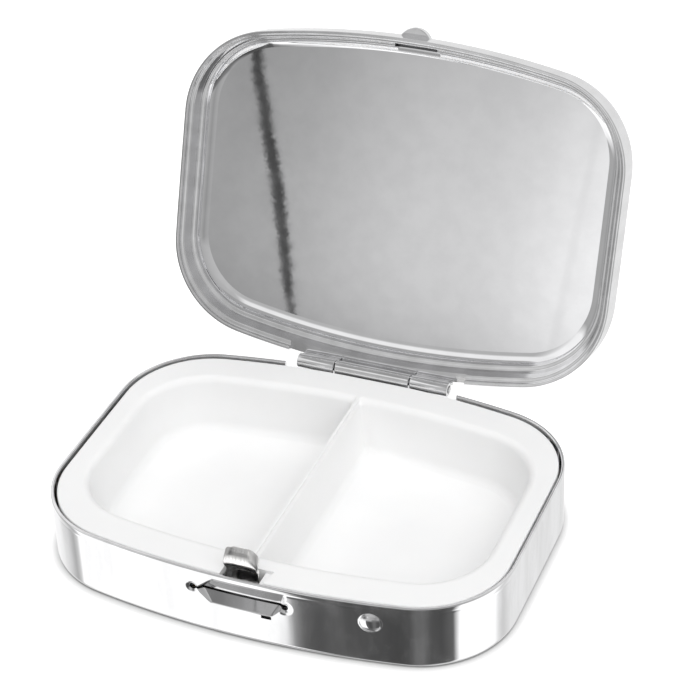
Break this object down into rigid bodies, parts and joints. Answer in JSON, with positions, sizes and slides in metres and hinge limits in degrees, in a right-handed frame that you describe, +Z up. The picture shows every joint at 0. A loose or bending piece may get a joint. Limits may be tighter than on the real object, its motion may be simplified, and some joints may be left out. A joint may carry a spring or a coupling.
{
  "type": "pill organizer",
  "caption": "Hinged metal pocket pill organizer, shown open, with a white pocketed insert tray and a spring catch.",
  "frame": {"origin": "middle of the flat underside of the base pan", "axes": "+X along the hinge, to the right seen from the front; +Y towards the hinge at the back; +Z up, away from the surface it rests on"},
  "size_m": [0.056, 0.0609, 0.047],
  "materials": {
    "chromed_steel": "polished",
    "polished_liner": "polished",
    "satin_plate": "satin",
    "spring_steel": "bright",
    "white_plastic": "moulded satin"
  },
  "bodies": {
    "base": {"base_pan": "chromed_steel", "hinge_pin": "spring_steel", "insert_tray": "white_plastic"},
    "lid": {"lid_frame": "chromed_steel", "liner_plate": "polished_liner", "face_plate": "satin_plate"},
    "catch": {"catch_spring": "spring_steel"}
  },
  "joints": [
    {"name": "lid_hinge", "type": "hinge", "parent": "base", "child": "lid", "pos_m": [0, 0.02075, 0.00825], "axis": [-1, 0, 0], "range_deg": [-110, 0]},
    {"name": "catch_pivot", "type": "hinge", "parent": "base", "child": "catch", "pos_m": [0, -0.01878, 0.00088], "axis": [-1, 0, 0], "range_deg": [0, 2], "stiffness_Nm_per_rad": 0.2}
  ]
}
